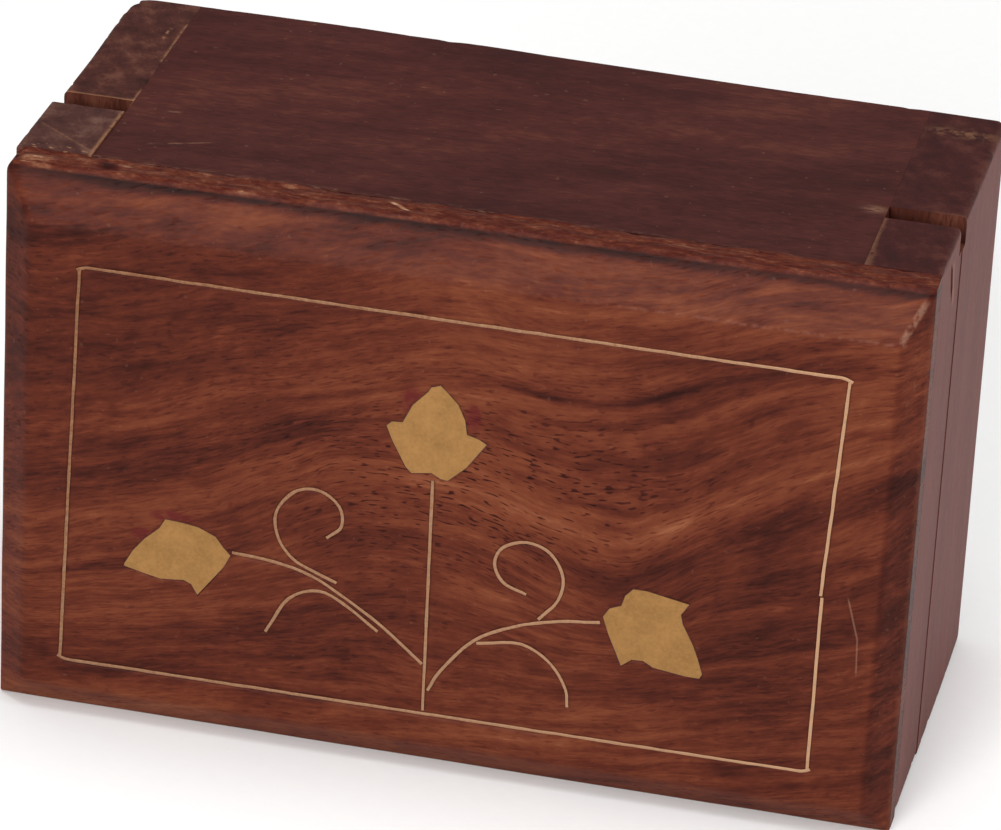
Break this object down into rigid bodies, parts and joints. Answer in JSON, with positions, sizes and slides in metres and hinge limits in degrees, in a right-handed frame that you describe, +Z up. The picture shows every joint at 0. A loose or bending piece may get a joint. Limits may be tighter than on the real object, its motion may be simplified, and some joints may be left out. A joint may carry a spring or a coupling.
{
  "type": "playing card box",
  "caption": "Wooden playing card box with a bevelled front lid that slides up on dovetail runners, inlaid with brass wires and leaves.",
  "frame": {"origin": "centre of the underside of the closed box, standing on its lower long side", "axes": "+X along the box's length, to the right when the inlaid lid is seen from the front; -Y out of the inlaid lid; +Z up, the way the lid slides off"},
  "size_m": [0.11, 0.054, 0.071],
  "materials": {
    "panel_wood": "oiled, worn sheesham with dark streaks",
    "case_wood": "oiled, worn dark sheesham",
    "end_grain_wood": "worn sheesham, end grain at the top and bottom",
    "runner_wood": "unfinished",
    "brass": "dull, flush-sanded",
    "brad_steel": "plain"
  },
  "bodies": {
    "case": {"top_board": "case_wood", "bottom_board": "case_wood", "end_board_left": "end_grain_wood", "end_board_right": "end_grain_wood", "back_panel": "case_wood", "back_brad_bottom_1": "brad_steel", "back_brad_bottom_2": "brad_steel", "back_brad_bottom_3": "brad_steel", "back_brad_top_1": "brad_steel", "back_brad_top_2": "brad_steel", "back_brad_top_3": "brad_steel"},
    "lid": {"lid_panel": "panel_wood", "lid_batten_left": "end_grain_wood", "lid_batten_right": "end_grain_wood", "lid_runner_left": "runner_wood", "lid_runner_right": "runner_wood", "border_top": "brass", "border_bottom": "brass", "border_left": "brass", "border_right_upper": "brass", "border_right_lower": "brass", "stem": "brass", "branch_left": "brass", "curl_left": "brass", "tendril_left": "brass", "branch_right": "brass", "curl_right": "brass", "tendril_right": "brass", "bud_leaf": "brass", "left_leaf": "brass", "right_leaf": "brass"}
  },
  "joints": [
    {"name": "lid_slide", "type": "slide", "parent": "case", "child": "lid", "axis": [0, 0, 1], "range_m": [0, 0.058]}
  ]
}
